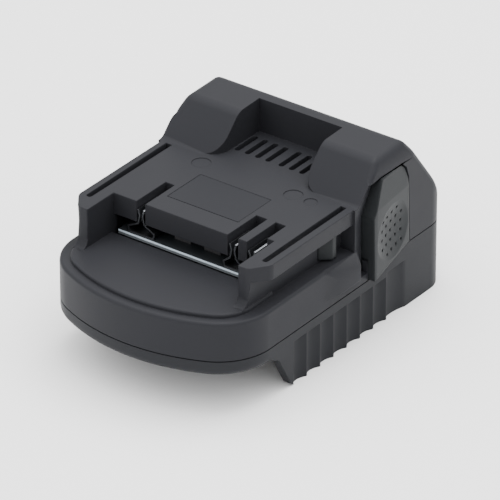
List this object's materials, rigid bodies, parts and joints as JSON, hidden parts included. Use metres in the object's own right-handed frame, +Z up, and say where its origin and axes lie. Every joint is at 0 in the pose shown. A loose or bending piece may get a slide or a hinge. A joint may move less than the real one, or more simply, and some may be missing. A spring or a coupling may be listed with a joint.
{
  "type": "tool battery adapter",
  "caption": "Battery adapter with a round-nosed base, undercut tool rails, slotted terminal deck, vented hump and sprung side latches, over a channel that takes a slide-in battery.",
  "frame": {"origin": "middle of the footprint at the level of the feet", "axes": "+Z up, +Y from the round nose towards the hump, +X towards the side with the small signal slot"},
  "size_m": [0.085, 0.125, 0.062],
  "materials": {
    "upper_plastic": "satin, finely textured",
    "lower_plastic": "satin, finely textured",
    "latch_plastic": "satin, finely textured",
    "spring_steel": "drawn wire",
    "label_film": "satin film, blank",
    "board_laminate": "dark coated faces, pale cut edges",
    "contact_tin": "tin plated sheet",
    "contact_brass": "satin",
    "chip_resin": "matte",
    "capacitor_sleeve": "gloss sleeve",
    "screw_steel": "zinc plated",
    "block_plastic": "matte",
    "lead_red": "soft insulation",
    "lead_black": "soft insulation",
    "lead_yellow": "soft insulation"
  },
  "bodies": {
    "housing": {"upper_housing": "upper_plastic", "lower_housing": "lower_plastic", "latch_spring_right": "spring_steel", "latch_spring_left": "spring_steel", "blank_label": "label_film", "tool_board": "board_laminate", "tool_clip_positive": "contact_tin", "tool_clip_negative": "contact_tin", "tool_clip_signal": "contact_tin", "power_transistors": "chip_resin", "control_chip": "chip_resin", "smoothing_capacitor": "capacitor_sleeve", "board_screws": "screw_steel", "battery_terminal_block": "block_plastic", "battery_blade_positive": "contact_brass", "battery_blade_negative": "contact_brass", "battery_blade_signal": "contact_brass", "terminal_block_screws": "screw_steel", "lead_positive": "lead_red", "lead_negative": "lead_black", "lead_signal": "lead_yellow", "housing_screws": "screw_steel"},
    "latch_right": {"latch_right": "latch_plastic"},
    "latch_left": {"latch_left": "latch_plastic"}
  },
  "joints": [
    {"name": "latch_right_slide", "type": "slide", "parent": "housing", "child": "latch_right", "axis": [-1, 0, 0], "range_m": [0, 0.0032], "stiffness_N_per_m": 600, "springref_m": -0.005, "deforming": ["latch_spring_right"]},
    {"name": "latch_left_slide", "type": "slide", "parent": "housing", "child": "latch_left", "axis": [1, 0, 0], "range_m": [0, 0.0032], "stiffness_N_per_m": 600, "springref_m": -0.005, "deforming": ["latch_spring_left"]}
  ]
}
